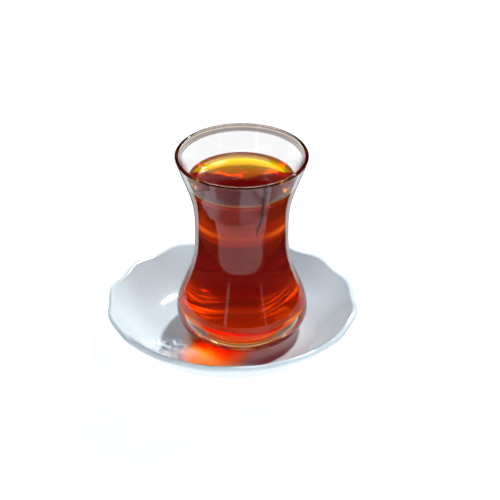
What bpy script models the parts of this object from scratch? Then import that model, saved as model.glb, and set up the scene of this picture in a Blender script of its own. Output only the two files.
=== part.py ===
"""Narrow-waisted Turkish tea glass, filled with tea, on its wavy-rimmed porcelain saucer.

Run with: blender --background --python part.py

Units are metres and Z is up. The origin is the centre of the saucer's foot ring, on the table.
"""

import math

import bpy
import numpy as np

# Saucer: overall size and section
SAUCER_R = 0.0567  # outside of the lip, midway between a lobe and a notch
SAUCER_LIP = 0.0014  # radius of the rounded lip
SAUCER_H = 0.0186  # top of the lip above the table
WELL_R, WELL_Z = 0.0290, 0.0041  # flat floor that the glass stands on
WELL_EDGE_R, WELL_EDGE_Z = 0.0335, 0.0047
SLOPE_R, SLOPE_Z = 0.0425, 0.0083
WALL_R, WALL_Z = 0.0497, 0.0139
FOOT_TOP_R, FOOT_TOP_Z = 0.0336, 0.0022  # where the underside meets the foot ring
SLOPE_UNDER_R, SLOPE_UNDER_Z = 0.0436, 0.0051
WALL_UNDER_R, WALL_UNDER_Z = 0.0502, 0.0108
FOOT_OUT_R = 0.0318
FOOT_IN_R = 0.0288
FOOT_H = 0.0013  # depth of the recess inside the foot ring
FOOT_ROUND = 0.0005

# Saucer: the waves of its rim
LOBES = 14
LOBE_AT = math.radians(115.0)  # middle of one lobe, seen from above
LOBE_DRIFT = math.radians(3.0)  # the lobes aren't quite even round the rim
DRIFT_AT = math.radians(25.0)
LOBE_OUT = 0.0005  # how far a lobe swings out, and a notch in
LOBE_UP = 0.0005
LOBE_START_R = 0.0340  # the waves fade out at this radius

# Glass: where it stands and its outside
GLASS_X = 0.0044
GLASS_Y = 0.0035
REST_GAP = 0.0003  # between pieces that touch
GLASS_Z = WELL_Z + REST_GAP
GLASS_H = 0.0888
RIM_R = 0.0300
RIM_LIP = 0.0009  # radius of the rounded lip
HEEL_Z, HEEL_R = 0.0026, 0.0269  # top of the short foot
HIP_Z, HIP_R = 0.0065, 0.0290
BULGE_Z, BULGE_R = 0.0122, 0.02965  # widest below the waist
SHOULDER_Z, SHOULDER_R = 0.0180, 0.0283
BELLY_Z, BELLY_R = 0.0240, 0.0260
DRAWN_IN_Z, DRAWN_IN_R = 0.0310, 0.0234
WAIST_Z, WAIST_R = 0.0500, 0.0210
WAIST_HALF = 0.0120  # the waist is nearly straight this far either way
WAIST_SPREAD = 0.0007
FLARE_LOW_Z, FLARE_LOW_R = 0.0694, 0.02335
FLARE_Z, FLARE_R = 0.0773, 0.0261
STAND_R = 0.0222  # outer edge of the flat ring that it stands on
PUNT_R = 0.0126  # hollow under the glass
PUNT_H = 0.0004

# Glass: its inside
WALL = 0.0018
CAVITY_Z = 0.0031  # lowest point of the hollow, above the underside
CAVITY_LOW_R = 0.0130  # the hollow's floor is nearly flat out to here
CAVITY_LOW_Z = 0.0037
CAVITY_SIDE_R = 0.0208
CAVITY_SIDE_Z = 0.0078
CAVITY_TURN_Z = 0.0158  # above here the wall has its even thickness
CAVITY_TURN_R = 0.0254

# Tea
TEA_LEVEL = 0.0750  # above the underside of the glass

# Fineness
GLASS_STEPS = 56
SAUCER_STEPS = LOBES * 7
FLOOR_ROWS = 5
INSIDE_ROWS = 18
OUTSIDE_ROWS = 18
LIP_ROWS = 5  # of the glass
SAUCER_LIP_ROWS = 8
SAUCER_ROWS = 11


def natural_spline(stations):
    """A smooth curve of one value through stations of (position, value), with no bend at its ends."""
    x, y = (np.array(column, float) for column in zip(*stations))
    h = np.diff(x)
    n = len(x)
    rows = np.eye(n)
    right = np.zeros(n)
    for i in range(1, n - 1):
        rows[i, i - 1 : i + 2] = h[i - 1], 2 * (h[i - 1] + h[i]), h[i]
        right[i] = 6 * ((y[i + 1] - y[i]) / h[i] - (y[i] - y[i - 1]) / h[i - 1])
    bend = np.linalg.solve(rows, right)

    def value(at):
        i = int(np.clip(np.searchsorted(x, at) - 1, 0, n - 2))
        a, b = x[i + 1] - at, at - x[i]
        return float(
            (bend[i] * a**3 + bend[i + 1] * b**3) / (6 * h[i])
            + (y[i] / h[i] - bend[i] * h[i] / 6) * a
            + (y[i + 1] / h[i] - bend[i + 1] * h[i] / 6) * b
        )

    return value


def arc(centre, radius, start_deg, end_deg, rows):
    """Points on a round stretch of a profile, from one direction to another."""
    turns = np.radians(np.linspace(start_deg, end_deg, rows))
    return [(centre[0] + radius * math.cos(t), centre[1] + radius * math.sin(t)) for t in turns]


glass_outside = natural_spline(
    [
        (HEEL_Z, HEEL_R),
        (HIP_Z, HIP_R),
        (BULGE_Z, BULGE_R),
        (SHOULDER_Z, SHOULDER_R),
        (BELLY_Z, BELLY_R),
        (DRAWN_IN_Z, DRAWN_IN_R),
        (WAIST_Z - WAIST_HALF, WAIST_R + WAIST_SPREAD),
        (WAIST_Z, WAIST_R),
        (WAIST_Z + WAIST_HALF, WAIST_R + WAIST_SPREAD),
        (FLARE_LOW_Z, FLARE_LOW_R),
        (FLARE_Z, FLARE_R),
        (GLASS_H - RIM_LIP, RIM_R),
    ]
)
cavity_side = natural_spline(
    [
        (CAVITY_LOW_Z, CAVITY_LOW_R),
        (CAVITY_SIDE_Z, CAVITY_SIDE_R),
        (CAVITY_TURN_Z, CAVITY_TURN_R),
        (BELLY_Z, BELLY_R - WALL * 1.06),
    ]
)


def glass_inside(z):
    """Radius of the hollow at a height above the underside of the glass."""
    if z < CAVITY_TURN_Z:
        return cavity_side(z)
    lean = (glass_outside(z + 0.0005) - glass_outside(z - 0.0005)) / 0.001
    even = glass_outside(z) - WALL * math.hypot(1.0, lean)
    blend = min(1.0, (z - CAVITY_TURN_Z) / (BELLY_Z - CAVITY_TURN_Z))
    blend = blend * blend * (3 - 2 * blend)
    return even * blend + cavity_side(min(z, BELLY_Z)) * (1 - blend)


def hollow_section():
    """The glass's hollow as points of (radius, height), from its bottom on the axis up to the lip."""
    rise = CAVITY_LOW_Z - CAVITY_Z
    floor = [
        (CAVITY_LOW_R * share, CAVITY_Z + rise * share**2.6)
        for share in np.linspace(0, 1, FLOOR_ROWS)[:-1]
    ]
    low, high = CAVITY_LOW_Z, GLASS_H - RIM_LIP
    heights = low + (high - low) * np.linspace(0, 1, INSIDE_ROWS)[:-1] ** 1.25
    return floor + [(glass_inside(z), z) for z in heights]


def glass_profile():
    """Section of the glass, from the hollow's bottom over the lip and down to the axis below."""
    lip = arc((RIM_R - RIM_LIP, GLASS_H - RIM_LIP), RIM_LIP, 170, 10, LIP_ROWS)
    low, high = HEEL_Z, GLASS_H - RIM_LIP
    heights = low + (high - low) * np.linspace(1, 0, OUTSIDE_ROWS)[1:] ** 1.15
    outside = [(glass_outside(z), z) for z in heights]
    foot = [(HEEL_R - 0.0009, HEEL_Z - 0.0010), (STAND_R + 0.0014, 0.0004), (STAND_R, 0.0)]
    punt = [
        (PUNT_R, 0.0),
        (PUNT_R * 0.82, PUNT_H * 0.72),
        (PUNT_R * 0.45, PUNT_H),
        (0.0, PUNT_H),
    ]
    return hollow_section() + lip + outside + foot + punt


def tea_profile():
    """Section of the tea: its level, then the hollow's own points moved in by the gap."""
    hollow = [point for point in hollow_section() if point[1] < TEA_LEVEL - 0.001]
    wet = []
    for i, (r, z) in enumerate(hollow):
        before = hollow[max(i - 1, 0)]
        after = hollow[min(i + 1, len(hollow) - 1)]
        run, rise = after[0] - before[0], after[1] - before[1]
        away = REST_GAP / math.hypot(run, rise)
        wet.append((max(r - rise * away, 0.0) if i else 0.0, z + run * away))
    edge = glass_inside(TEA_LEVEL) - REST_GAP * 1.1
    return [(0.0, TEA_LEVEL), (edge, TEA_LEVEL)] + wet[::-1]


def saucer_profile():
    """Section of the saucer, from the well's middle over the lip and down to the foot and the axis."""
    lip_r, lip_z = SAUCER_R - SAUCER_LIP, SAUCER_H - SAUCER_LIP
    lip = arc((lip_r, lip_z), SAUCER_LIP, 150, -60, SAUCER_LIP_ROWS)
    inner = natural_spline(
        [(WELL_R, WELL_Z), (WELL_EDGE_R, WELL_EDGE_Z), (SLOPE_R, SLOPE_Z), (WALL_R, WALL_Z), lip[0]]
    )
    top = [(0.0, WELL_Z), (WELL_R * 0.5, WELL_Z)]
    top += [(r, inner(r)) for r in np.linspace(WELL_R, lip[0][0], SAUCER_ROWS)[:-1]]
    under = natural_spline(
        [(FOOT_TOP_R, FOOT_TOP_Z), (SLOPE_UNDER_R, SLOPE_UNDER_Z), (WALL_UNDER_R, WALL_UNDER_Z)]
        + [lip[-1]]
    )
    outer = [(r, under(r)) for r in np.linspace(lip[-1][0], FOOT_TOP_R, SAUCER_ROWS - 2)[1:]]
    foot = [
        (FOOT_OUT_R, FOOT_H),
        (FOOT_OUT_R, FOOT_ROUND),
        (FOOT_OUT_R - FOOT_ROUND, 0.0),
        (FOOT_IN_R + FOOT_ROUND, 0.0),
        (FOOT_IN_R, FOOT_ROUND),
        (FOOT_IN_R - FOOT_ROUND, FOOT_H),
        (0.0, FOOT_H),
    ]
    return top + lip + outer + foot


def material(name, colour, roughness, transmission=0.0):
    """A plain finish: colour, roughness and how clear it is."""
    made = bpy.data.materials.new(name)
    made.use_nodes = True
    shader = made.node_tree.nodes["Principled BSDF"]
    shader.inputs["Base Color"].default_value = (*colour, 1.0)
    shader.inputs["Roughness"].default_value = roughness
    shader.inputs["Metallic"].default_value = 0.0
    shader.inputs["Transmission Weight"].default_value = transmission
    made.diffuse_color = (*colour, 1.0)
    return made


def turned(name, profile, steps, collection):
    """A solid turned round Z from a profile that starts on the axis and runs down its outer side."""
    mesh = bpy.data.meshes.new(name)
    points = [(r, 0.0, z) for r, z in profile]
    mesh.from_pydata(points, [(i, i + 1) for i in range(len(points) - 1)], [])
    made = bpy.data.objects.new(name, mesh)
    collection.objects.link(made)
    screw = made.modifiers.new("Turn", "SCREW")
    screw.axis = "Z"
    screw.steps = steps
    screw.render_steps = steps
    screw.use_smooth_shade = True
    screw.use_merge_vertices = True
    screw.merge_threshold = 0.00001
    return made


def applied(obj):
    """Turns an object with modifiers into one with a plain mesh of the same shape."""
    bpy.context.view_layer.update()
    graph = bpy.context.evaluated_depsgraph_get()
    mesh = bpy.data.meshes.new_from_object(obj.evaluated_get(graph))
    obj.modifiers.clear()
    obj.data = mesh
    return obj


def wave(obj):
    """Swings the rim of the saucer out and up at each lobe, and in and down at each notch."""
    mesh = obj.data
    flat = np.empty(len(mesh.vertices) * 3)
    mesh.vertices.foreach_get("co", flat)
    points = flat.reshape(-1, 3)
    radius = np.hypot(points[:, 0], points[:, 1])
    angle = np.arctan2(points[:, 1], points[:, 0])
    drift = LOBE_DRIFT * (1 + np.cos(angle - DRIFT_AT))
    lobe = np.cos(LOBES * (angle - LOBE_AT - drift))
    reach = np.clip((radius - LOBE_START_R) / (SAUCER_R - LOBE_START_R), 0, 1) ** 2
    scale = 1 + LOBE_OUT * lobe * reach / np.maximum(radius, LOBE_START_R)
    points[:, 0] *= scale
    points[:, 1] *= scale
    points[:, 2] += LOBE_UP * lobe * reach
    mesh.vertices.foreach_set("co", points.ravel())
    mesh.update()
    return obj


def finish(obj, look, place=(0.0, 0.0, 0.0)):
    """Gives a piece its material and its place."""
    obj.data.materials.append(look)
    obj.location = place
    return obj


def main():
    for obj in list(bpy.data.objects):
        bpy.data.objects.remove(obj, do_unlink=True)
    collection = bpy.data.collections.new("turkish_tea_glass")
    bpy.context.scene.collection.children.link(collection)

    saucer = wave(applied(turned("saucer", saucer_profile(), SAUCER_STEPS, collection)))
    finish(saucer, material("white_porcelain", (0.80, 0.84, 0.87), 0.12))

    stands_at = (GLASS_X, GLASS_Y, GLASS_Z)
    glass = turned("tea_glass", glass_profile(), GLASS_STEPS, collection)
    finish(glass, material("clear_glass", (0.97, 0.98, 0.98), 0.02, 1.0), stands_at)

    tea = turned("tea", tea_profile(), GLASS_STEPS, collection)
    finish(tea, material("black_tea", (0.46, 0.06, 0.01), 0.03, 0.6), stands_at)


main()
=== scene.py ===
"""Looks of a narrow-waisted tea glass, full of black tea, on its scalloped porcelain saucer.

Every length is in metres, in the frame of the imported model: Z up, the origin in the middle of the
saucer's foot ring on the table, and the camera looking along +Y and down.
"""

import logging
import math
from dataclasses import dataclass
from enum import Enum
from typing import Callable

import bpy
import numpy as np
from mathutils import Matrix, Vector


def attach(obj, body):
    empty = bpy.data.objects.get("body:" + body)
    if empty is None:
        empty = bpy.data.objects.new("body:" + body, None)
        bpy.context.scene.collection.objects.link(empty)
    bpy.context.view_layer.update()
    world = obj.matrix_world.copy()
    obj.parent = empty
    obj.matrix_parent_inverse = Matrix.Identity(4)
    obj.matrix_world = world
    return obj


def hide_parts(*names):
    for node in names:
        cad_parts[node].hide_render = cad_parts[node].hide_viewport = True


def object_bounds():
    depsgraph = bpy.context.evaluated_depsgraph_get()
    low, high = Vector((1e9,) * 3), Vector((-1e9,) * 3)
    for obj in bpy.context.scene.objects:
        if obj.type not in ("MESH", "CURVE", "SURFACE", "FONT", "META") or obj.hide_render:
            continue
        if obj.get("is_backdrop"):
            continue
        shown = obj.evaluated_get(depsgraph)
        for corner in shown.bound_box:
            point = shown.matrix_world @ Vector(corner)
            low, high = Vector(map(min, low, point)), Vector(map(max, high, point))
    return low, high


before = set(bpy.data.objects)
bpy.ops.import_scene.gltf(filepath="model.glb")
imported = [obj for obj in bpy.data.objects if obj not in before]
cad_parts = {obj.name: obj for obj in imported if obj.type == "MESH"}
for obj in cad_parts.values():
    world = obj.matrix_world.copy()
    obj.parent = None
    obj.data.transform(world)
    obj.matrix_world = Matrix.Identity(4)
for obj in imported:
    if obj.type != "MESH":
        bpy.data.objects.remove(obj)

LOG = logging.getLogger("tea_glass")
BODY = "root"

# In a finish, a pair is where a change starts and where it is full. A band also holds where it
# starts to fade and where it has gone.
Curve = Callable[[np.ndarray], np.ndarray]
Socket = bpy.types.NodeSocket
Pair = tuple[float, float]
Band = tuple[float, float, float, float]
Point = tuple[float, float, float]
Rgb = tuple[float, float, float]
Sky = tuple[tuple[float, Rgb], ...]

BLACK: Rgb = (0.0, 0.0, 0.0)
WHITE: Rgb = (1.0, 1.0, 1.0)
CENTRE: Point = (0.0, 0.0, 0.0)
WET: tuple[str, ...] = ("tea_glass_clear", "tea_liquid")


class Slot(Enum):
    """The record's material slots."""

    GLASS = "clear_glass"
    TEA = "black_tea"
    PORCELAIN = "white_porcelain"


class Index(Enum):
    """How strongly each surface bends light: the index on its inner side over that on its outer."""

    GLASS_TO_AIR = 1.5
    TEA_TO_AIR = 1.333
    GLASS_TO_TEA = 1.5 / 1.333
    NONE = 1.0


# Curves and grids


def natural_spline(stations: list[Pair]) -> Curve:
    """A smooth curve through stations: piecewise cubics with matching slope and bend.

    Args:
        stations: (position, value) pairs, positions rising.

    Returns:
        A function that gives the values at an array of positions.
    """
    x, y = np.array(stations, float).T
    step = np.diff(x)
    count = len(x)
    matrix = np.eye(count)
    right = np.zeros(count)
    inner = np.arange(1, count - 1)
    matrix[inner, inner - 1] = step[:-1]
    matrix[inner, inner] = 2 * (step[:-1] + step[1:])
    matrix[inner, inner + 1] = step[1:]
    right[inner] = 6 * (np.diff(y)[1:] / step[1:] - np.diff(y)[:-1] / step[:-1])
    bend = np.linalg.solve(matrix, right)

    def value(at: np.ndarray) -> np.ndarray:
        """The curve's values: the cubic of the span that each position falls in."""
        at = np.asarray(at, float)
        i = np.clip(np.searchsorted(x, at) - 1, 0, count - 2)
        a, b, h = x[i + 1] - at, at - x[i], step[i]
        return (
            (bend[i] * a**3 + bend[i + 1] * b**3) / (6 * h)
            + (y[i] / h - bend[i] * h / 6) * a
            + (y[i + 1] / h - bend[i + 1] * h / 6) * b
        )

    return value


def smooth_step(low: float, high: float, at: np.ndarray) -> np.ndarray:
    """Rises from 0 at low to 1 at high: 3t^2 - 2t^3, where t is the share of the way."""
    t = np.clip((at - low) / (high - low), 0.0, 1.0)
    return t * t * (3 - 2 * t)


def arc(centre: Pair, radius: float, start: float, end: float, rows: int) -> np.ndarray:
    """Points on a circle of a profile, from direction start to end.

    Args:
        centre: (radius from the axis, height) of the circle's middle.
        radius: the circle's own radius.
        start: first direction, in degrees from outwards, counter-clockwise.
        end: last direction.
        rows: how many points.

    Returns:
        An array of (radius from the axis, height).
    """
    turn = np.radians(np.linspace(start, end, rows))
    return np.stack([centre[0] + radius * np.cos(turn), centre[1] + radius * np.sin(turn)], 1)


def resampled(profile: np.ndarray, longest: float) -> np.ndarray:
    """A profile with points added evenly in each stretch, so that none is longer than asked.

    Args:
        profile: (radius, height) rows.
        longest: the longest stretch allowed.

    Returns:
        The finer profile, which keeps every point of the first.
    """
    length = np.hypot(*np.diff(profile, axis=0).T)
    parts = np.maximum(np.ceil(length / longest).astype(int), 1)
    ends = np.concatenate([[0], np.cumsum(parts)])
    at = np.arange(ends[-1] + 1)
    return np.stack([np.interp(at, ends, profile[:, k]) for k in (0, 1)], 1)


@dataclass(frozen=True)
class Turned:
    """A closed surface of revolution as a grid: row i, column j is profile point i turned by j steps.

    The profile starts and ends on the axis, and runs down its outer side, so that faces point out.
    """

    profile: np.ndarray
    steps: int

    def points(self) -> np.ndarray:
        """Grid points between the two poles, then the two poles: (r cos a, r sin a, z)."""
        turn = np.linspace(0, 2 * math.pi, self.steps, endpoint=False)
        r, z = self.profile[1:-1, 0], self.profile[1:-1, 1]
        sides = (np.outer(r, np.cos(turn)), np.outer(r, np.sin(turn)), np.outer(z, np.ones_like(turn)))
        grid = np.stack(sides, 2)
        poles = np.array([[0, 0, self.profile[0, 1]], [0, 0, self.profile[-1, 1]]])
        return np.concatenate([grid.reshape(-1, 3), poles])

    def faces(self) -> tuple[np.ndarray, np.ndarray]:
        """Four-sided faces between rows, and three-sided ones round each pole.

        Returns:
            An array of quads and an array of triangles, as point numbers.
        """
        rows = len(self.profile) - 2
        i, j = np.meshgrid(np.arange(rows - 1), np.arange(self.steps), indexing="ij")
        after = (j + 1) % self.steps
        here, below = i * self.steps, (i + 1) * self.steps
        quads = np.stack([here + j, below + j, below + after, here + after], 2).reshape(-1, 4)
        j = np.arange(self.steps)
        after = (j + 1) % self.steps
        last = (rows - 1) * self.steps
        first_pole, last_pole = rows * self.steps, rows * self.steps + 1
        near = np.stack([np.full_like(j, first_pole), j, after], 1)
        far = np.stack([np.full_like(j, last_pole), last + after, last + j], 1)
        return quads, np.concatenate([near, far])


def mesh_object(name: str, points: np.ndarray, quads: np.ndarray, triangles: np.ndarray) -> bpy.types.Object:
    """Makes a smooth-shaded mesh object at the origin.

    Args:
        name: the piece's name.
        points: vertex places.
        quads: four-sided faces.
        triangles: three-sided faces.

    Returns:
        The new object, linked to the scene.
    """
    mesh = bpy.data.meshes.new(name)
    mesh.vertices.add(len(points))
    mesh.vertices.foreach_set("co", points.astype(np.float32).ravel())
    corners = np.concatenate([quads.ravel(), triangles.ravel()]).astype(np.int32)
    sides = np.concatenate([np.full(len(quads), 4), np.full(len(triangles), 3)])
    starts = np.concatenate([[0], np.cumsum(sides)[:-1]]).astype(np.int32)
    mesh.loops.add(len(corners))
    mesh.loops.foreach_set("vertex_index", corners)
    mesh.polygons.add(len(sides))
    mesh.polygons.foreach_set("loop_start", starts)
    mesh.polygons.foreach_set("use_smooth", np.ones(len(sides), bool))
    mesh.update(calc_edges=True)
    mesh.validate()
    made = bpy.data.objects.new(name, mesh)
    bpy.context.scene.collection.objects.link(made)
    return made


# Finishes


class Nodes:
    """Builds one material's nodes, with short calls for the kinds that the finishes share."""

    def __init__(self, name: str) -> None:
        """Starts a material with its shader and output."""
        self.material = bpy.data.materials.new(name)
        self.material.use_nodes = True
        self.tree = self.material.node_tree
        self.shader = self.tree.nodes["Principled BSDF"]
        self.output = self.tree.nodes["Material Output"]
        self.place = self.add("ShaderNodeTexCoord").outputs["Object"]

    def add(self, kind: str, **settings: object) -> bpy.types.Node:
        """Adds a node and sets its properties."""
        made = self.tree.nodes.new(kind)
        for key, value in settings.items():
            setattr(made, key, value)
        return made

    def link(self, out: Socket, into: Socket) -> None:
        """Joins two sockets."""
        self.tree.links.new(out, into)

    def noise(self, scale: float, detail: float = 3.0, rough: float = 0.5) -> Socket:
        """A cloud pattern on Object coordinates, from 0 to 1, scale per metre."""
        made = self.add("ShaderNodeTexNoise")
        made.inputs["Scale"].default_value = scale
        made.inputs["Detail"].default_value = detail
        made.inputs["Roughness"].default_value = rough
        self.link(self.place, made.inputs["Vector"])
        return made.outputs["Fac"]

    def remap(
        self, value: Socket, low: float, high: float, to_low: float = 0.0, to_high: float = 1.0
    ) -> Socket:
        """Maps low..high to to_low..to_high, held at the ends."""
        made = self.add("ShaderNodeMapRange")
        numbers = (low, high, to_low, to_high)
        for key, number in zip(("From Min", "From Max", "To Min", "To Max"), numbers):
            made.inputs[key].default_value = number
        self.link(value, made.inputs["Value"])
        return made.outputs["Result"]

    def mix(self, share: Socket, first: "Rgb | Socket", second: "Rgb | Socket") -> Socket:
        """Blends two colours by a share from 0 to 1."""
        made = self.add("ShaderNodeMix", data_type="RGBA")
        self.link(share, made.inputs["Factor"])
        for key, colour in ((6, first), (7, second)):
            if isinstance(colour, tuple):
                made.inputs[key].default_value = (*colour, 1.0)
            else:
                self.link(colour, made.inputs[key])
        return made.outputs[2]

    def math(self, operation: str, first: object, second: object = 0.0) -> Socket:
        """One sum on sockets or numbers."""
        made = self.add("ShaderNodeMath", operation=operation)
        for socket, value in zip(made.inputs, (first, second)):
            if isinstance(value, (int, float)):
                socket.default_value = value
            else:
                self.link(value, socket)
        return made.outputs[0]

    def product(self, first: Socket, *others: object) -> Socket:
        """Sockets or numbers multiplied together."""
        for other in others:
            first = self.math("MULTIPLY", first, other)
        return first

    def axis(self, name: str) -> Socket:
        """One of the point's own coordinates: X, Y or Z, which is the height above the table."""
        made = self.add("ShaderNodeSeparateXYZ")
        self.link(self.place, made.inputs[0])
        return made.outputs[name]

    def band(self, value: Socket, stops: Band) -> Socket:
        """Rises from 0 to 1 between the first two stops and falls back between the last two."""
        rise, full, fall, end = stops
        return self.product(self.remap(value, rise, full), self.remap(value, end, fall))

    def away(self, name: str, middle: float) -> Socket:
        """The distance from a place along one axis."""
        return self.math("ABSOLUTE", self.math("SUBTRACT", self.axis(name), middle))

    def wander(self, scale: float, width: float) -> Socket:
        """A cloud pattern that strays up to half a width either side of zero."""
        return self.product(self.math("SUBTRACT", self.noise(scale, 3.0), 0.5), width)

    def stretched_noise(self, stretch: Point, detail: float, tilt: float) -> Socket:
        """A cloud pattern from 0 to 1 with its own scale per metre along each axis.

        Args:
            stretch: the scale along X, Y and Z.
            detail: how many finer layers of cloud there are.
            tilt: how far the pattern rises for each metre to the right.

        Returns:
            The pattern.
        """
        leaning = self.math("SUBTRACT", self.axis("Z"), self.product(self.axis("X"), tilt))
        moved = self.add("ShaderNodeCombineXYZ")
        for socket, value in zip(moved.inputs, (self.axis("X"), self.axis("Y"), leaning)):
            self.link(value, socket)
        scaled = self.add("ShaderNodeVectorMath", operation="MULTIPLY")
        self.link(moved.outputs["Vector"], scaled.inputs[0])
        scaled.inputs[1].default_value = stretch
        made = self.add("ShaderNodeTexNoise")
        made.inputs["Scale"].default_value = 1.0
        made.inputs["Detail"].default_value = detail
        self.link(scaled.outputs["Vector"], made.inputs["Vector"])
        return made.outputs["Fac"]

    def bump(self, height: Socket, distance: float, strength: float = 1.0) -> None:
        """Puts relief of a given depth, in metres, on the shader."""
        made = self.add("ShaderNodeBump")
        made.inputs["Distance"].default_value = distance
        made.inputs["Strength"].default_value = strength
        self.link(height, made.inputs["Height"])
        self.link(made.outputs["Normal"], self.shader.inputs["Normal"])

    def absorb(self, colour: Rgb, density: float) -> None:
        """Fills the piece with something that takes colour out of light, by the metre."""
        made = self.add("ShaderNodeVolumeAbsorption")
        made.inputs["Color"].default_value = (*colour, 1.0)
        made.inputs["Density"].default_value = density
        self.link(made.outputs["Volume"], self.output.inputs["Volume"])


@dataclass(frozen=True)
class ClearGlass:
    """Pressed soda glass: colourless, very faintly rippled, with a hair of haze from washing. Light and shade
    are painted on it: orange light in the base, dark edges, a golden far lip with dark lines, glints and a
    dark reflection.
    """

    index: Index = Index.GLASS_TO_AIR
    middle: Pair = (0.0044, 0.0035)
    far_side: Pair = (-0.004, 0.008)
    near_side: Pair = (0.0, -0.004)
    clouded: Rgb = (0.985, 0.992, 0.990)
    ripple_scale: float = 55.0
    ripple_depth: float = 0.00002
    haze: float = 0.012
    haze_scale: float = 240.0
    haze_clouds: Pair = (0.45, 0.75)
    plain_gloss: float = 0.5
    # Painted shade: the wall darkens where it is seen edge-on.
    edge_shade_from_to: Pair = (0.60, 0.82)
    painted_edge_shade: Rgb = (0.04, 0.03, 0.03)
    # Painted light: an orange tint in the thick base.
    painted_base_light_heights: Pair = (0.0172, 0.0112)
    painted_base_light_colour: Rgb = (1.0, 0.60, 0.29)
    dry_heights: Pair = (0.0798, 0.0806)
    dry_colour: Rgb = (0.87, 0.865, 0.87)
    lip_heights: Pair = (0.0911, 0.0917)
    # Painted light: the far lip is tinted golden.
    painted_far_lip_light: Rgb = (0.78, 0.66, 0.52)
    lip_outer: Pair = (0.0289, 0.0292)
    lip_under: Band = (0.0899, 0.0904, 0.0910, 0.0915)
    # Painted shade: dark lines on the far lip.
    painted_lip_shade: Rgb = (0.16, 0.12, 0.12)
    lip_front_share: float = 0.25
    # Painted glints: golden spots that glow in the dry ring above the tea.
    glints: tuple[Point, ...] = ((-0.0162, 0.0876, 0.0021), (0.0233, 0.0862, 0.0024))
    glint_core: float = 0.3
    glint_colour: Rgb = (1.0, 0.36, 0.05)
    fleck_scale: float = 520.0
    flecks: Pair = (0.47, 0.60)
    # Painted reflection: a dark streak down the front of the glass.
    dark_reflection_top: Pair = (0.0154, 0.0924)
    dark_reflection_end: Pair = (0.0113, 0.0604)
    dark_reflection_half: float = 0.0008
    dark_reflection_taper: Pair = (-0.0015, 0.009)
    dark_reflection_waver: Pair = (150.0, 0.0035)
    dark_reflection_soft: float = 0.00022
    dark_reflection_side: Pair = (-0.006, -0.010)
    dark_reflection_colour: Rgb = (0.03, 0.003, 0.005)
    dark_reflection_glow: Rgb = (0.010, 0.0, 0.0)

    def build(self) -> bpy.types.Material:
        """Makes the material."""
        nodes = Nodes("clear_glass" if self.index is Index.GLASS_TO_AIR else "clear_glass_wetted")
        shader = nodes.shader.inputs
        shader["Transmission Weight"].default_value = 1.0
        shader["IOR"].default_value = self.index.value
        clouds = nodes.noise(self.ripple_scale, 2.0)
        # Painted dark reflection: a dark streak down the front, whose gloss is taken away.
        painted_dark_reflection = self.painted_dark_reflection(nodes)
        nodes.link(nodes.mix(painted_dark_reflection, self.tint(nodes, clouds), self.dark_reflection_colour), shader["Base Color"])
        nodes.link(nodes.remap(painted_dark_reflection, 0.0, 1.0, self.plain_gloss, 0.0), shader["Specular IOR Level"])
        unlit = nodes.mix(painted_dark_reflection, BLACK, self.dark_reflection_glow)
        nodes.link(nodes.mix(self.painted_glints(nodes), unlit, self.glint_colour), shader["Emission Color"])
        shader["Emission Strength"].default_value = 1.0
        haze = nodes.remap(nodes.noise(self.haze_scale, 4.0), *self.haze_clouds, 0.0, self.haze)
        nodes.link(haze, shader["Roughness"])
        nodes.bump(clouds, self.ripple_depth)
        return nodes.material

    def tint(self, nodes: Nodes, clouds: Socket) -> Socket:
        """The wall's colour, with light and shade painted in: orange light in the thick base, shade where it
        is seen edge-on and at the lip, golden light on the far lip.

        Args:
            nodes: the material's nodes.
            clouds: the pattern of its faint ripples.

        Returns:
            The colour.
        """
        height = nodes.axis("Z")
        lip = nodes.remap(height, *self.lip_heights)
        far = nodes.remap(nodes.axis("Y"), *self.far_side)
        far_lip = nodes.product(lip, far)
        near_lip = nodes.math("SUBTRACT", lip, far_lip)
        tint = nodes.mix(clouds, self.clouded, WHITE)
        dry = nodes.math("SUBTRACT", nodes.remap(height, *self.dry_heights), lip)
        tint = nodes.mix(dry, tint, self.dry_colour)
        # Painted light: the base is tinted orange, standing in for light that the tea passes on.
        tint = nodes.mix(nodes.remap(height, *self.painted_base_light_heights), tint, self.painted_base_light_colour)
        # Painted light: golden tint on the far lip.
        tint = nodes.mix(far_lip, tint, self.painted_far_lip_light)
        # Painted shade: dark where the wall is seen edge-on, less so at the near lip.
        weight = nodes.add("ShaderNodeLayerWeight")
        weight.inputs["Blend"].default_value = 0.5
        edge_shade_share = nodes.remap(weight.outputs["Facing"], *self.edge_shade_from_to)
        eased = nodes.math("SUBTRACT", 1.0, nodes.product(near_lip, 1.0 - self.lip_front_share))
        tint = nodes.mix(nodes.product(edge_shade_share, eased), tint, self.painted_edge_shade)
        # Painted shade: dark lines on the far lip's outer side and under it.
        outer = nodes.product(nodes.remap(self.radius(nodes), *self.lip_outer), far_lip)
        under = nodes.product(nodes.band(height, self.lip_under), far)
        return nodes.mix(nodes.math("MAXIMUM", outer, under), tint, self.painted_lip_shade)

    def radius(self, nodes: Nodes) -> Socket:
        """The distance from the glass's own axis."""
        squares = [nodes.math("POWER", nodes.away(axis, at), 2.0) for axis, at in zip("XY", self.middle)]
        return nodes.math("SQRT", nodes.math("ADD", *squares))

    def painted_glints(self, nodes: Nodes) -> Socket:
        """Painted golden glints in the dry ring above the tea, broken up into flecks."""
        total: object = 0.0
        for at_x, at_z, reach in self.glints:
            off = nodes.math("ADD", nodes.away("X", at_x), nodes.away("Z", at_z))
            total = nodes.math("ADD", total, nodes.remap(off, reach, reach * self.glint_core))
        flecks = nodes.remap(nodes.noise(self.fleck_scale, 2.0), *self.flecks)
        return nodes.product(total, flecks, nodes.remap(nodes.axis("Y"), *self.near_side))

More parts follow.
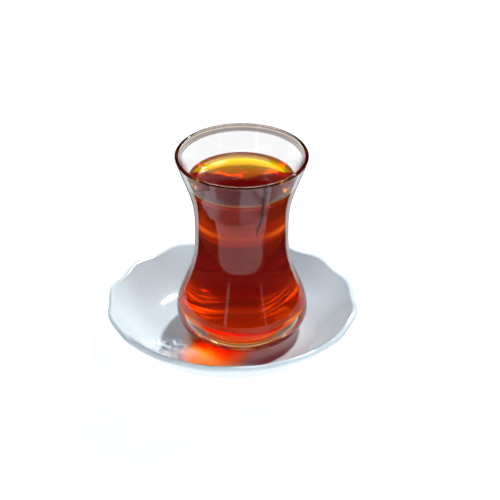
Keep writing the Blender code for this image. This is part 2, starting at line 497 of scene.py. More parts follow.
    def painted_dark_reflection(self, nodes: Nodes) -> Socket:
        """A painted dark reflection on the front: a wavering line that leans left and tapers."""
        (top_x, top_z), (end_x, end_z) = self.dark_reflection_top, self.dark_reflection_end
        tip, full = self.dark_reflection_taper
        height = nodes.axis("Z")
        lean = nodes.remap(height, end_z, top_z, end_x, top_x)
        line = nodes.math("ADD", lean, nodes.wander(*self.dark_reflection_waver))
        off = nodes.math("ABSOLUTE", nodes.math("SUBTRACT", nodes.axis("X"), line))
        half = nodes.remap(height, end_z + tip, end_z + full, 0.0, self.dark_reflection_half)
        inside = nodes.remap(nodes.math("SUBTRACT", half, off), 0.0, self.dark_reflection_soft)
        return nodes.product(inside, nodes.remap(nodes.axis("Y"), *self.dark_reflection_side))


@dataclass(frozen=True)
class BlackTea:
    """Clear brewed tea: yellow where it is thin, amber and then deep red as it gets thicker.

    Light that the sun gathers inside the tea is faint glows, placed by height and side.
    """

    density: float = 2800.0
    passes: Rgb = (0.98535, 0.9568, 0.0)
    middle_x: float = 0.0044
    front: Pair = (0.0, -0.004)
    film_scale: float = 90.0
    film_clouds: Pair = (0.5, 0.8)
    film_tint: Rgb = (0.99, 0.97, 0.94)
    film_haze: float = 0.01
    # Painted shade: a dark band at the tea's top edge.
    edge_shade_heights: Pair = (0.0792, 0.0796)
    painted_edge_shade: Rgb = (0.20, 0.11, 0.10)
    # Painted reflection: a pale gleam along the far edge of the tea's surface.
    gleam_heights: Band = (0.07885, 0.0790, 0.0792, 0.0794)
    gleam_back: Pair = (0.010, 0.015)
    gleam_side: Pair = (-0.002, -0.007)
    gleam_colours: tuple[Rgb, Rgb] = ((0.03, 0.035, 0.0), (0.60, 0.72, 0.62))
    glow_heights: Pair = (0.015, 0.034)
    glow_low: Rgb = (0.18, 0.016, 0.0)
    glow_high: Rgb = (0.06, 0.002, 0.002)
    streak_scale: Point = (45.0, 45.0, 600.0)
    streak_tilt: float = 0.22
    streak_clouds: Pair = (0.48, 0.64)
    streak_heights: Band = (0.0185, 0.0215, 0.0285, 0.0325)
    streak_sides: Band = (-0.0110, -0.0010, 0.0110, 0.0190)
    streak_front: Pair = (0.002, -0.004)
    streak_colour: Rgb = (1.0, 0.055, 0.0)
    ring_heights: Band = (0.0592, 0.0602, 0.0616, 0.0632)
    ring_sides: Pair = (0.008, 0.018)
    ring_colours: tuple[Rgb, Rgb] = ((0.12, 0.016, 0.0), (0.60, 0.10, 0.006))
    # Painted light: a thin warm line where the tea meets the front of the glass.
    contact_heights: Band = (0.0799, 0.0804, 0.0809, 0.0812)
    contact_front: Pair = (0.0, -0.006)
    contact_glow: Rgb = (0.26, 0.10, 0.03)
    shore: Point = (0.0050, 0.0088, 19.0)
    shore_ragged: Pair = (210.0, 0.012)
    shore_heights: Pair = (0.0780, 0.0783)
    shore_reach: Band = (-0.0012, 0.0, 0.0016, 0.0042)
    # Painted light: the red glow along the surface's shore.
    shore_glow: Rgb = (0.85, 0.035, 0.0)
    patch_scale: float = 120.0
    patches: Pair = (0.43, 0.54)
    # Painted light: the amber glow on the back of the free surface.
    amber: Rgb = (0.12, 0.018, 0.0)
    amber_reach: Band = (0.0, 0.0012, 0.006, 0.011)
    shade_heights: Band = (0.0655, 0.0700, 0.0772, 0.0782)
    shade_ragged: Pair = (110.0, 0.014)
    shade_colour: Rgb = (0.26, 0.48, 0.90)
    index_attribute: str = "surface_index"

    def build(self) -> bpy.types.Material:
        """Makes the material. Its index of refraction comes from the faces: none at the wall."""
        nodes = Nodes("black_tea")
        shader = nodes.shader.inputs
        shader["Transmission Weight"].default_value = 1.0
        index = nodes.add("ShaderNodeAttribute", attribute_name=self.index_attribute)
        nodes.link(index.outputs["Fac"], shader["IOR"])
        film = nodes.noise(self.film_scale, 4.0, 0.6)
        tint = nodes.mix(film, self.film_tint, WHITE)
        # Painted shade: a dark band at the tea's top edge.
        tint = nodes.mix(nodes.remap(nodes.axis("Z"), *self.edge_shade_heights), tint, self.painted_edge_shade)
        nodes.link(nodes.mix(self.shade(nodes), tint, self.shade_colour), shader["Base Color"])
        nodes.link(nodes.remap(film, *self.film_clouds, 0.0, self.film_haze), shader["Roughness"])
        nodes.link(self.glow(nodes), shader["Emission Color"])
        shader["Emission Strength"].default_value = 1.0
        nodes.absorb(self.passes, self.density)
        return nodes.material

    def glow(self, nodes: Nodes) -> Socket:
        """Every glow, each laid over those before: bulge, waist, contact line, far edge and surface."""
        side, depth, height = (nodes.axis(name) for name in "XYZ")
        glow = nodes.mix(nodes.remap(height, *self.glow_heights), self.glow_low, self.glow_high)
        glow = nodes.mix(self.streaks(nodes), glow, self.streak_colour)
        ring, beside = self.ring(nodes)
        glow = nodes.mix(ring, glow, nodes.mix(beside, *self.ring_colours))
        # Painted light: a thin warm line where the tea meets the front of the glass.
        near = nodes.remap(depth, *self.contact_front)
        contact = nodes.product(nodes.band(height, self.contact_heights), near)
        glow = nodes.mix(contact, glow, self.contact_glow)
        # Painted reflection: a pale gleam along the far edge of the surface.
        gleam = nodes.product(nodes.band(height, self.gleam_heights), nodes.remap(depth, *self.gleam_back))
        glow = nodes.mix(gleam, glow, nodes.mix(nodes.remap(side, *self.gleam_side), *self.gleam_colours))
        amber, shore = self.shores(nodes)
        return nodes.mix(shore, nodes.mix(amber, glow, self.amber), self.shore_glow)

    def shade(self, nodes: Nodes) -> Socket:
        """The front of the flare, where the tea looks browner and darker."""
        rise, full, fall, end = self.shade_heights
        height = nodes.axis("Z")
        low = nodes.remap(nodes.math("ADD", height, nodes.wander(*self.shade_ragged)), rise, full)
        return nodes.product(low, nodes.remap(height, end, fall), nodes.remap(nodes.axis("Y"), *self.front))

    def streaks(self, nodes: Nodes) -> Socket:
        """Where sunlight gathered by the bulge glows: flat streaks at the front, beside its middle."""
        side = nodes.axis("X")
        left_full, left_end, right_start, right_full = self.streak_sides
        left = nodes.remap(side, left_end, left_full)
        beside = nodes.math("MAXIMUM", left, nodes.remap(side, right_start, right_full))
        clouds = nodes.stretched_noise(self.streak_scale, 2.0, self.streak_tilt)
        flecks = nodes.remap(clouds, *self.streak_clouds)
        front = nodes.remap(nodes.axis("Y"), *self.streak_front)
        return nodes.product(nodes.band(nodes.axis("Z"), self.streak_heights), beside, flecks, front)

    def ring(self, nodes: Nodes) -> tuple[Socket, Socket]:
        """A thin glowing ring round the front of the waist, and how far each point of it is to the side."""
        ring = nodes.product(
            nodes.band(nodes.axis("Z"), self.ring_heights), nodes.remap(nodes.axis("Y"), *self.front)
        )
        return ring, nodes.remap(nodes.away("X", self.middle_x), *self.ring_sides)

    def shores(self, nodes: Nodes) -> tuple[Socket, Socket]:
        """Where light is painted on the free surface: its amber glow, behind y = a + b (x - c)^2 with a
        ragged edge, and the red glow along its shore.
        """
        middle, start, bend = self.shore
        off = nodes.math("SUBTRACT", nodes.axis("X"), middle)
        line = nodes.math("ADD", nodes.product(off, off, bend), start)
        ragged = nodes.math("ADD", nodes.axis("Y"), nodes.wander(*self.shore_ragged))
        behind = nodes.math("SUBTRACT", ragged, line)
        top = nodes.remap(nodes.axis("Z"), *self.shore_heights)
        patches = nodes.remap(nodes.noise(self.patch_scale, 2.0), *self.patches)
        amber = nodes.product(nodes.band(behind, self.amber_reach), top)
        return amber, nodes.product(nodes.band(behind, self.shore_reach), patches, top)


@dataclass(frozen=True)
class Porcelain:
    """Bluish-white glazed porcelain, matt and bare on the ring that it stands on."""

    pale: Rgb = (0.75, 0.85, 0.905)
    deep: Rgb = (0.73, 0.83, 0.89)
    cloud_scale: float = 32.0
    clouds: Pair = (0.35, 0.65)
    speck: Rgb = (0.45, 0.46, 0.46)
    speck_scale: float = 900.0
    specks: Pair = (0.79, 0.82)
    bare: Rgb = (0.82, 0.80, 0.75)
    bare_heights: Pair = (0.00035, 0.00021)
    bare_roughness: float = 0.6
    gloss: Pair = (0.05, 0.13)
    gloss_scale: float = 140.0
    index: float = 1.52
    coat: float = 0.35
    coat_roughness: float = 0.03
    swell_scale: float = 75.0
    peel_scale: float = 420.0
    peel_share: float = 0.25
    relief: float = 0.00006

    def build(self) -> bpy.types.Material:
        """Makes the material: clouded glaze, sparse pin specks, orange peel and a bare foot."""
        nodes = Nodes("white_porcelain")
        shader = nodes.shader.inputs
        clouds = nodes.remap(nodes.noise(self.cloud_scale, 3.0), *self.clouds)
        specks = nodes.remap(nodes.noise(self.speck_scale, 1.0), *self.specks)
        bare = nodes.remap(nodes.axis("Z"), *self.bare_heights)
        glaze = nodes.mix(specks, nodes.mix(clouds, self.pale, self.deep), self.speck)
        nodes.link(nodes.mix(bare, glaze, self.bare), shader["Base Color"])
        gloss = nodes.remap(nodes.noise(self.gloss_scale, 4.0), 0.3, 0.7, *self.gloss)
        matt = nodes.product(bare, self.bare_roughness)
        nodes.link(nodes.math("ADD", gloss, matt), shader["Roughness"])
        shader["IOR"].default_value = self.index
        shader["Coat Weight"].default_value = self.coat
        shader["Coat Roughness"].default_value = self.coat_roughness
        peel = nodes.product(nodes.noise(self.peel_scale, 2.0), self.peel_share)
        nodes.bump(nodes.math("ADD", nodes.noise(self.swell_scale, 2.0), peel), self.relief)
        return nodes.material


@dataclass(frozen=True)
class PaleFloor:
    """A plain matt white table top."""

    colour: Rgb = (0.20, 0.20, 0.20)
    glow: float = 0.88
    roughness: float = 0.7
    gloss: float = 0.2

    def build(self) -> bpy.types.Material:
        """Makes the material, lit a little from below as a light table is."""
        nodes = Nodes("pale_floor")
        shader = nodes.shader.inputs
        shader["Base Color"].default_value = (*self.colour, 1.0)
        shader["Emission Color"].default_value = (*WHITE, 1.0)
        shader["Emission Strength"].default_value = self.glow
        shader["Roughness"].default_value = self.roughness
        shader["Specular IOR Level"].default_value = self.gloss
        return nodes.material


# The glass and the tea


@dataclass(frozen=True)
class TeaGlass:
    """The glass: a flared mouth, a narrow waist, a round bulge and a thick base on a short foot.

    Its pairs are (height, radius) from its own foot and axis, which stand at x, y, z.
    """

    x: float = 0.0044
    y: float = 0.0035
    z: float = 0.0044
    height: float = 0.0888
    rim_r: float = 0.0300
    rim_lip: float = 0.0009
    heel: Pair = (0.0026, 0.0269)
    hip: Pair = (0.0065, 0.0290)
    bulge: Pair = (0.0122, 0.02965)
    shoulder: Pair = (0.0180, 0.0283)
    belly: Pair = (0.0240, 0.0260)
    drawn_in: Pair = (0.0310, 0.0234)
    waist: Pair = (0.0500, 0.0210)
    waist_half: float = 0.0120
    waist_spread: float = 0.0007
    flare_low: Pair = (0.0694, 0.02335)
    flare: Pair = (0.0773, 0.0261)
    stand_r: float = 0.0222
    punt_r: float = 0.0126
    punt_h: float = 0.0004
    wall: float = 0.0018
    belly_slant: float = 1.06
    cavity_z: float = 0.0031
    cavity_low: Pair = (0.0037, 0.0130)
    cavity_side: Pair = (0.0078, 0.0208)
    cavity_turn: Pair = (0.0158, 0.0254)
    tea_contact: float = 0.0768
    probe: float = 0.0005
    steps: int = 256
    longest: float = 0.00085

    def outside(self, z: np.ndarray) -> np.ndarray:
        """Outer radius at a height: one smooth curve through the foot, bulge, waist and flare."""
        waist_z, waist_r = self.waist
        beside = waist_r + self.waist_spread
        low = [self.heel, self.hip, self.bulge, self.shoulder, self.belly, self.drawn_in]
        waist = [(waist_z - self.waist_half, beside), self.waist, (waist_z + self.waist_half, beside)]
        high = [self.flare_low, self.flare, (self.height - self.rim_lip, self.rim_r)]
        return natural_spline(low + waist + high)(z)

    def inside(self, z: np.ndarray) -> np.ndarray:
        """Radius of the hollow at a height.

        Above the belly it is the outer radius less the wall, measured square to its lean. Below,
        it is a rounder curve of its own, because the glass thickens there, and the two are blended.
        """
        z = np.asarray(z, float)
        belly_z, belly_r = self.belly
        meeting = (belly_z, belly_r - self.wall * self.belly_slant)
        low = natural_spline([self.cavity_low, self.cavity_side, self.cavity_turn, meeting])
        near = np.maximum(z, self.cavity_turn[0])
        lean = (self.outside(near + self.probe) - self.outside(near - self.probe)) / (2 * self.probe)
        even = self.outside(near) - self.wall * np.hypot(1.0, lean)
        blend = smooth_step(self.cavity_turn[0], belly_z, z)
        return even * blend + low(np.minimum(z, belly_z)) * (1 - blend)

    def hollow(self) -> np.ndarray:
        """Section of the hollow from its bottom on the axis up to the lip, with a row at the tea's edge."""
        low_z, low_r = self.cavity_low
        share = np.linspace(0, 1, 24)[:-1]
        floor = np.stack([low_r * share, self.cavity_z + (low_z - self.cavity_z) * share**2.6], 1)
        top = self.height - self.rim_lip
        wet = low_z + (self.tea_contact - low_z) * np.linspace(0, 1, 96)[:-1] ** 1.25
        dry = np.linspace(self.tea_contact, top, 16)[:-1]
        z = np.concatenate([wet, dry])
        return np.concatenate([floor, np.stack([self.inside(z), z], 1)])

    def section(self) -> np.ndarray:
        """The whole section: hollow, rounded lip, outside, round heel, standing ring and hollow foot."""
        top = self.height - self.rim_lip
        lip = arc((self.rim_r - self.rim_lip, top), self.rim_lip, 168, 4, 21)
        z = self.heel[0] + (top - self.heel[0]) * np.linspace(1, 0, 110) ** 1.1
        outside = np.stack([self.outside(z), z], 1)
        heel_z, heel_r = self.heel
        under = [(self.stand_r, 0.0), (self.stand_r + 0.0020, 0.0003)]
        foot = natural_spline([*under, (heel_r - 0.0009, heel_z - 0.0010), self.heel[::-1]])
        r = np.linspace(heel_r, self.stand_r, 14)[1:]
        bottom = np.stack([r, np.maximum(foot(r), 0.0)], 1)
        share = np.linspace(1, 0, 16)
        punt = np.stack([self.punt_r * share, self.punt_h * (1 - share**4)], 1)
        return resampled(np.concatenate([self.hollow(), lip, outside, bottom, punt]), self.longest)

    def placed(self, points: np.ndarray) -> np.ndarray:
        """Moves points from the glass's own axis to where it stands."""
        return points + np.array([self.x, self.y, self.z])

    def build(self) -> bpy.types.Object:
        """Makes the glass, with its wetted wall as a second material.

        Returns:
            The piece, riding on the body in place of the CAD node.
        """
        turned = Turned(self.section(), self.steps)
        quads, triangles = turned.faces()
        points = turned.points()
        made = mesh_object("tea_glass_clear", self.placed(points), quads, triangles)
        made.data.materials.append(ClearGlass().build())
        made.data.materials.append(ClearGlass(Index.GLASS_TO_TEA).build())
        wet_rows = int(np.argmin(np.abs(turned.profile[: len(turned.profile) // 2, 1] - self.tea_contact)))
        wet = np.zeros(len(quads) + len(triangles), np.int32)
        wet[: (wet_rows - 1) * self.steps] = 1
        wet[len(quads) : len(quads) + self.steps] = 1
        made.data.polygons.foreach_set("material_index", wet)
        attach(made, BODY)
        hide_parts("tea_glass")
        return made


@dataclass(frozen=True)
class Tea:
    """The tea: it fills the hollow, reaches just into the wall, and climbs a little at its edge."""

    glass: TeaGlass
    level: float = 0.0742
    into_wall: float = 0.00005
    climb_reach: float = 0.0022
    ripple: float = 0.00003
    calm_from: float = 0.8
    steps: int = 256

    def surface(self, r: np.ndarray, edge: float) -> np.ndarray:
        """Height of the free surface: level, plus a rise that fades as e^(-distance / reach)."""
        return self.level + (self.glass.tea_contact - self.level) * np.exp((r - edge) / self.climb_reach)

    def swell(self, x: np.ndarray, y: np.ndarray, edge: float) -> np.ndarray:
        """Two trains of bent ripples, about 15 mm from crest to crest, that cross and fade at the edge."""
        across = np.sin(9 + 420 * x + 2 * np.sin(300 * y))
        along = np.sin(380 * y - 1.5 * np.sin(260 * x + 1))
        calm = 1 - smooth_step(edge * self.calm_from, edge, np.hypot(x, y))
        return calm * self.ripple * (across + along)

    def section(self) -> tuple[np.ndarray, int]:
        """The tea's section and how many of its points belong to the free surface.

        Returns:
            (radius, height) rows from the middle of the surface to the middle of the bottom, and
            the number of rows up to the edge of the surface.
        """
        edge = float(self.glass.inside(np.array([self.glass.tea_contact]))[0])
        share = np.linspace(0, 1, 60)
        r = edge * (1 - (1 - share) ** 2)
        top = np.stack([r, self.surface(r, edge)], 1)
        hollow = self.glass.hollow()
        hollow = hollow[hollow[:, 1] < self.glass.tea_contact - 1e-6]
        along = np.gradient(hollow, axis=0)
        along /= np.hypot(*along.T)[:, None]
        side = hollow + self.into_wall * np.stack([along[:, 1], -along[:, 0]], 1)
        side[0, 0] = 0.0
        rim = np.array([[edge + self.into_wall, self.glass.tea_contact]])
        return np.concatenate([top, rim, side[::-1]]), len(top)

    def build(self) -> bpy.types.Object:
        """Makes the tea.

        Returns:
            The piece, riding on the body in place of the CAD node.
        """
        profile, top_rows = self.section()
        turned = Turned(profile, self.steps)
        quads, triangles = turned.faces()
        points = turned.points()
        free = np.zeros(len(points), bool)
        free[: (top_rows - 1) * self.steps] = True
        free[-2] = True
        points[:, 2] += free * self.swell(points[:, 0], points[:, 1], profile[top_rows - 1, 0])
        made = mesh_object("tea_liquid", self.glass.placed(points), quads, triangles)
        index = np.full(len(quads) + len(triangles), Index.NONE.value)
        index[: (top_rows - 2) * self.steps] = Index.TEA_TO_AIR.value
        index[len(quads) : len(quads) + self.steps] = Index.TEA_TO_AIR.value
        finish = BlackTea()
        layer = made.data.attributes.new(finish.index_attribute, "FLOAT", "FACE")
        layer.data.foreach_set("value", index.astype(np.float32))
        made.data.materials.append(finish.build())
        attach(made, BODY)
        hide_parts("tea")
        return made


# The saucer


@dataclass(frozen=True)
class Saucer:
    """The saucer: a flat well, a wall that swings out and up in fourteen soft scallops, a foot ring.

    Its pairs are (radius, height).
    """

    radius: float = 0.0567
    lip: float = 0.0014
    height: float = 0.0186
    well: Pair = (0.0290, 0.0041)
    well_edge: Pair = (0.0335, 0.0047)
    slope: Pair = (0.0425, 0.0083)
    wall: Pair = (0.0497, 0.0139)
    foot_top: Pair = (0.0336, 0.0022)
    slope_under: Pair = (0.0436, 0.0051)
    wall_under: Pair = (0.0502, 0.0108)
    foot_out_r: float = 0.0318
    foot_in_r: float = 0.0288
    foot_h: float = 0.0013
    foot_round: float = 0.0005
    lobes: int = 14
    lobe_at: float = math.radians(115.0)
    lobe_drift: float = math.radians(3.0)
    drift_at: float = math.radians(25.0)
    lobe_out: float = 0.0005
    lobe_up: float = 0.0005
    lobe_start_r: float = 0.0340
    shy: float = 0.0007
    steps: int = 420
    longest: float = 0.0011

    def section(self) -> np.ndarray:
        """The section from the well's middle over the lip, down the underside and across the foot."""
        lip_r, lip_z = self.radius - self.lip, self.height - self.lip
        lip = arc((lip_r, lip_z), self.lip, 145, -45, 23)
        inner = natural_spline([self.well, self.well_edge, self.slope, self.wall, tuple(lip[0])])
        r = np.linspace(self.well[0], lip[0, 0], 46)[:-1]
        top = np.concatenate([[[0.0, self.well[1]]], np.stack([r, inner(r)], 1)])
        under = natural_spline([self.foot_top, self.slope_under, self.wall_under, tuple(lip[-1])])
        r = np.linspace(lip[-1, 0], self.foot_top[0], 34)[1:]
        outer = np.stack([r, under(r)], 1)
        round_ = self.foot_round
        foot_out = arc((self.foot_out_r - round_, round_), round_, 0, -90, 7)
        foot_in = arc((self.foot_in_r + round_, round_), round_, -90, -180, 7)
        inside = arc((self.foot_in_r - round_ * 1.6, self.foot_h - round_ * 1.0), round_, 0, 90, 7)
        neck = np.array([[self.foot_out_r + 0.0002, self.foot_h]])
        end = np.array([[0.0, self.foot_h]])
        whole = np.concatenate([top, lip, outer, neck, foot_out, foot_in, inside, end])
        return resampled(whole, self.longest)

    def waved(self, points: np.ndarray) -> np.ndarray:
        """Moves points out and up at each scallop by cos(14 (angle - drift)), fading towards the well."""
        r = np.hypot(points[:, 0], points[:, 1])
        angle = np.arctan2(points[:, 1], points[:, 0])
        drift = self.lobe_drift * (1 + np.cos(angle - self.drift_at))
        lobe = np.cos(self.lobes * (angle - self.lobe_at - drift))
        reach = np.clip((r - self.lobe_start_r) / (self.radius - self.lobe_start_r), 0, 1) ** 2
        scale = (1 - self.shy * reach) * (1 + self.lobe_out * lobe * reach / np.maximum(r, self.lobe_start_r))
        lifted = points[:, 2] + self.lobe_up * lobe * reach
        return np.stack([points[:, 0] * scale, points[:, 1] * scale, lifted], 1)

    def build(self) -> bpy.types.Object:
        """Makes the saucer.

        Returns:
            The piece, riding on the body in place of the CAD node.
        """
        turned = Turned(self.section(), self.steps)
        made = mesh_object("saucer_porcelain", self.waved(turned.points()), *turned.faces())
        made.data.materials.append(Porcelain().build())
        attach(made, BODY)
        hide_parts("saucer")
        return made


# The studio


class Seen(Enum):
    """Whether gloss and glass show a lamp, only gloss does, or it only lights matt surfaces."""

    EVERYWHERE = "everywhere"
    IN_GLOSS = "in gloss"
    AS_LIGHT = "as light"


def hung(data: bpy.types.Light, place: Point, aim: Point) -> bpy.types.Object:
    """Hangs a lamp, facing what it is aimed at."""
    lamp = bpy.data.objects.new(data.name, data)
    lamp.location = place
    lamp.rotation_euler = (Vector(aim) - Vector(place)).to_track_quat("-Z", "Y").to_euler()
    bpy.context.scene.collection.objects.link(lamp)
    return lamp


def group(name: str, pieces: tuple[str, ...]) -> bpy.types.Collection:
    """Gathers pieces, for a lamp that lights or is stopped by them only."""
    made = bpy.data.collections.new(name)
    for piece in pieces:
        made.objects.link(bpy.data.objects[piece])
    return made


@dataclass(frozen=True)
class Softbox:
    """One soft rectangular lamp, its power in watts, which may light some pieces only."""

    name: str
    place: Point
    aim: Point
    size: Pair
    watts: float
    colour: Rgb = WHITE
    seen: Seen = Seen.EVERYWHERE
    only: tuple[str, ...] = ()

    def build(self) -> None:
        """Hangs the lamp."""
        data = bpy.data.lights.new(self.name, "AREA")
        data.shape = "RECTANGLE"
        data.size, data.size_y = self.size
        data.energy = self.watts
        data.color = self.colour
        lamp = hung(data, self.place, self.aim)
        lamp.visible_glossy = self.seen is not Seen.AS_LIGHT
        lamp.visible_transmission = self.seen is Seen.EVERYWHERE
        if self.only:
            lamp.light_linking.receiver_collection = group(self.name + "_lights", self.only)


@dataclass(frozen=True)
class TeaBeam:
    """A narrow beam that stands for sunlight gathered by the tea, which nothing but porcelain stops.

    Its spread is in degrees from side to side. With its watts below zero it takes light away, which
    deepens the shade.
    """

    name: str
    aim: Point
    spread: float
    watts: float
    colour: Rgb
    place: Point = (0.15, 0.32, 0.40)
    softness: float = 0.004
    web_scale: float = 0.0
    web_line: float = 0.07

    def weave(self, data: bpy.types.SpotLight) -> None:
        """Breaks the beam into a web of fine lines, the borders between cells of a Voronoi pattern."""
        data.use_nodes = True
        tree = data.node_tree
        direction = tree.nodes.new("ShaderNodeTexCoord")
        cells = tree.nodes.new("ShaderNodeTexVoronoi")
        cells.feature = "DISTANCE_TO_EDGE"
        cells.inputs["Scale"].default_value = self.web_scale
        tree.links.new(direction.outputs["Normal"], cells.inputs["Vector"])
        lines = tree.nodes.new("ShaderNodeMapRange")
        lines.inputs["From Min"].default_value = self.web_line
        lines.inputs["From Max"].default_value = 0.0
        tree.links.new(cells.outputs["Distance"], lines.inputs["Value"])
        tree.links.new(lines.outputs["Result"], tree.nodes["Emission"].inputs["Strength"])

    def build(self) -> None:
        """Hangs the beam, which lights the porcelain only. A web needs a lamp without any width."""
        data = bpy.data.lights.new(self.name, "SPOT")
        data.spot_size = math.radians(self.spread)
        data.spot_blend = 1.0
        data.energy = self.watts
        data.color = self.colour
        data.shadow_soft_size = 0.0 if self.web_scale else self.softness
        if self.web_scale:
            self.weave(data)
        lamp = hung(data, self.place, self.aim)
        porcelain = group(self.name + "_porcelain", ("saucer_porcelain",))
        lamp.light_linking.receiver_collection = porcelain
        lamp.light_linking.blocker_collection = porcelain


@dataclass(frozen=True)
class Studio:
    """The pale floor, the soft light and the camera at the photograph's angle."""

    camera_place: Point = (0.0081, -1.2878, 0.8126)
    pitch: float = math.radians(30.77)
    lens: float = 238.9
    floor_r: float = 4.0
    floor_sides: int = 96
    floor_drop: float = 0.0001
    near_r: float = 0.088
    near_y: float = -0.088
    far_from_to: Pair = (0.062, 2.0)
    far_wedge: Pair = (math.radians(28.0), math.radians(52.0))
    sky_strength: float = 0.9
    sky_by_height: Sky = (
        (0.0, (0.42, 0.40, 0.40)),
        (0.25, (0.42, 0.40, 0.40)),
        (0.42, (0.15, 0.14, 0.14)),
        (0.59, (0.15, 0.14, 0.14)),
        (0.67, (0.95, 0.96, 0.98)),
        (1.0, WHITE),
    )
    sky_by_depth: Sky = (
        (0.0, (0.70, 0.71, 0.73)),
        (0.30, (0.75, 0.76, 0.78)),
        (0.60, WHITE),
        (1.0, WHITE),
    )
    lamps: tuple[Softbox, ...] = (
        Softbox("key_back_right", (0.42, 0.76, 0.95), (0.0, 0.0, 0.03), (0.11, 0.11), 15.1),
        Softbox(
            "fill_above", (0.1, 0.2, 1.5), CENTRE, (1.6, 1.6), 40.0, (1.0, 0.90, 0.86), Seen.IN_GLOSS, WET
        ),
        Softbox(
            "fill_back_left", (-0.9, 0.7, 1.35), CENTRE, (0.8, 0.8), 11.0, (0.84, 0.93, 1.0), Seen.AS_LIGHT
        ),
        Softbox("fill_front", (-0.4, -2.2, 0.6), CENTRE, (1.0, 1.0), 14.0, (0.90, 0.96, 1.0), Seen.AS_LIGHT),
        Softbox("fill_right", (1.3, -0.9, 1.1), CENTRE, (0.8, 0.8), 15.0, (0.88, 0.95, 1.0), Seen.AS_LIGHT),
        Softbox("strip_left", (-0.58, -1.09, 0.35), (0.0, 0.0, 0.05), (0.12, 0.9), 0.28),
        Softbox("strip_right", (0.82, -0.94, 0.35), (0.0, 0.0, 0.05), (0.10, 0.9), 0.16),
    )
    beams: tuple[TeaBeam, ...] = (
        TeaBeam("beam_gold", (-0.0130, -0.0205, 0.005), 1.7, 38.0, (1.0, 0.10, 0.0), (0.19, 0.30, 0.36)),
        TeaBeam("beam_red", (-0.0050, -0.0205, 0.006), 2.9, 15.0, (1.0, 0.02, 0.0)),
        TeaBeam("beam_shade", (-0.0090, -0.0212, 0.006), 3.7, -9.0, (0.0, 0.45, 1.0)),
        TeaBeam("dusk_left", (-0.0300, -0.0235, 0.007), 4.0, -2.2, (1.0, 0.9, 0.75)),
        TeaBeam("beam_web", (-0.0300, -0.0235, 0.007), 3.2, 30.0, WHITE, web_scale=170.0),
        TeaBeam("dusk_right", (0.0140, -0.0235, 0.006), 4.4, -2.6, (0.8, 1.0, 1.0)),
    )

    def floor(self) -> None:
        """Lays the floor: a wide disc, and the small disc in front and two far wedges that gloss mirrors."""
        finish = PaleFloor().build()
        count = self.floor_sides
        turn = np.linspace(0, 2 * math.pi, count, endpoint=False)
        ring = np.stack([np.cos(turn), np.sin(turn), np.zeros(count)], 1)
        j = np.arange(count)
        fan = np.stack([np.full(count, count), j, (j + 1) % count], 1)
        for name, hand in (("floor_far_left", -1.0), ("floor_far_right", 1.0)):
            sides = np.array([(hand * math.sin(side), math.cos(side), 0.0) for side in self.far_wedge])
            wedge = np.concatenate([self.far_from_to[0] * sides, self.far_from_to[1] * sides[::-1]])
            made = mesh_object(name, wedge, np.array([[0, 1, 2, 3]]), np.zeros((0, 3), int))
            made.data.materials.append(finish)
            made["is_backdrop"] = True
        discs = (
            ("floor", self.floor_r, (0.0, 0.0, -self.floor_drop)),
            ("floor_near", self.near_r, (0.0, self.near_y, 0.0)),
        )
        for name, radius, middle in discs:
            points = np.concatenate([radius * ring, np.zeros((1, 3))]) + middle
            made = mesh_object(name, points, np.zeros((0, 4), int), fan)
            made.data.materials.append(finish)
            made.visible_glossy = name == "floor_near"
            made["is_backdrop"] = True

    def sky(self) -> None:
        """Surrounds the scene with white: darker overhead, and darker still on the camera's side."""
        world = bpy.data.worlds.new("studio")
        bpy.context.scene.world = world
        world.use_nodes = True
        tree = world.node_tree
        background = tree.nodes["Background"]
        direction = tree.nodes.new("ShaderNodeTexCoord")
        split = tree.nodes.new("ShaderNodeSeparateXYZ")
        tree.links.new(direction.outputs["Generated"], split.inputs[0])
        rise = self.ramp(tree, split.outputs["Z"], self.sky_by_height)
        depth = tree.nodes.new("ShaderNodeMapRange")
        depth.inputs["From Min"].default_value = -1.0
        tree.links.new(split.outputs["Y"], depth.inputs["Value"])
        side = self.ramp(tree, depth.outputs["Result"], self.sky_by_depth)
        both = tree.nodes.new("ShaderNodeMix")
        both.data_type = "RGBA"
        both.blend_type = "MULTIPLY"
        both.inputs["Factor"].default_value = 1.0
        tree.links.new(rise, both.inputs[6])
        tree.links.new(side, both.inputs[7])
        tree.links.new(both.outputs[2], background.inputs["Color"])
        background.inputs["Strength"].default_value = self.sky_strength
        world.cycles_visibility.glossy = False
        world.cycles_visibility.diffuse = False

    @staticmethod
    def ramp(
        tree: bpy.types.NodeTree,
        value: Socket,
        stops: Sky,
    ) -> Socket:
        """Turns a value from 0 to 1 into a colour by stops of (value, colour)."""
        made = tree.nodes.new("ShaderNodeValToRGB")
        marks = made.color_ramp.elements
        while len(marks) < len(stops):
            marks.new(0.5)
        for mark, (position, colour) in zip(marks, stops):
            mark.position = position
            mark.color = (*colour, 1.0)
        tree.links.new(value, made.inputs["Fac"])
        return made.outputs["Color"]

    def camera(self) -> None:
        """Puts the camera where the photograph was taken from."""
        data = bpy.data.cameras.new("camera")
        data.lens = self.lens
        data.sensor_width = 36.0
        data.clip_start, data.clip_end = 0.05, 50.0
        made = bpy.data.objects.new("camera", data)
        made.location = self.camera_place
        made.rotation_euler = (math.pi / 2 - self.pitch, 0.0, 0.0)
        bpy.context.scene.collection.objects.link(made)
        bpy.context.scene.camera = made

    def build(self) -> None:
        """Sets up everything round the object."""
        self.floor()
        self.sky()
        for lamp in self.lamps:
            lamp.build()
        for beam in self.beams:
            beam.build()
        self.camera()
        scene = bpy.context.scene
        scene.view_settings.view_transform = "Standard"
        scene.cycles.max_bounces = 24
        scene.cycles.transmission_bounces = 24
        scene.cycles.transparent_max_bounces = 16


def corners() -> list[list[float]]:
    """The shown object's lowest and highest corner, as plain lists."""
    return [list(corner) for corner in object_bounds()]


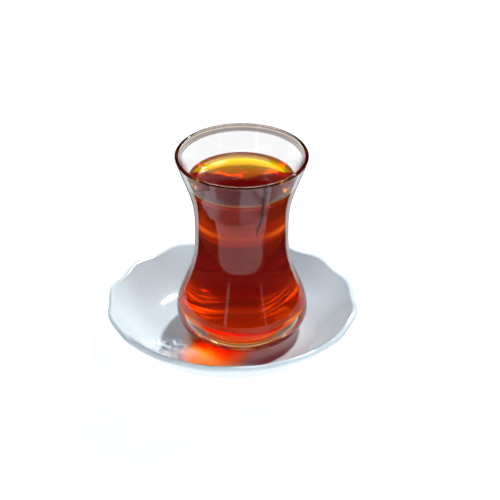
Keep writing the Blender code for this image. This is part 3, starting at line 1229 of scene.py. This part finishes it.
def main() -> None:
    """Builds each piece in order, reports it, and sets up the studio."""
    logging.basicConfig(level=logging.INFO, format="%(message)s")
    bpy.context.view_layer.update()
    glass = TeaGlass()
    for made in (Saucer().build(), glass.build(), Tea(glass).build()):
        LOG.info("%s: %d faces", made.name, len(made.data.polygons))
    Studio().build()
    bpy.context.view_layer.update()


if __name__ == "__main__":
    main()
